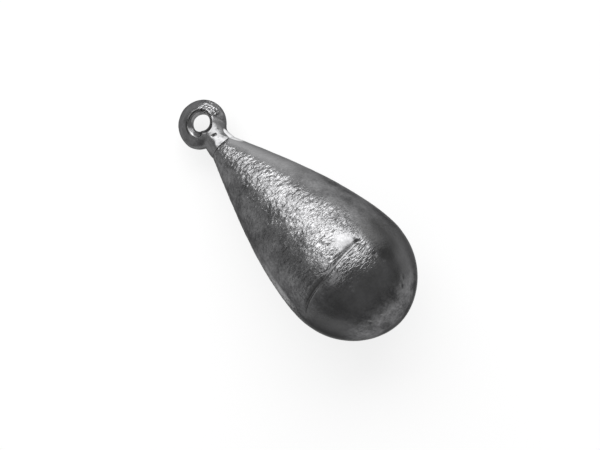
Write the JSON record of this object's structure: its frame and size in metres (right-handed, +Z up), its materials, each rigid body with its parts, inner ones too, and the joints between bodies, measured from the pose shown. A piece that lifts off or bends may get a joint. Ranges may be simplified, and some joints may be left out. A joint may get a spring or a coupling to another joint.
{
  "type": "lead sinker",
  "caption": "Pear-shaped cast lead fishing sinker with a smooth ring eye whose stem is cast into the neck, lying on its side.",
  "frame": {"origin": "on the ground, under the middle of the bounding box of the sinker as it lies at rest", "axes": "+X along the sinker from the eye to the rounded bottom, +Y across it, +Z up; the body's own axis leans 12.1 degrees, with the eye low"},
  "size_m": [0.058, 0.0248, 0.0253],
  "materials": {
    "lead": "satin",
    "eye_metal": "satin"
  },
  "bodies": {
    "root": {"lead_body": "lead", "cast_in_eye": "eye_metal"}
  },
  "joints": []
}
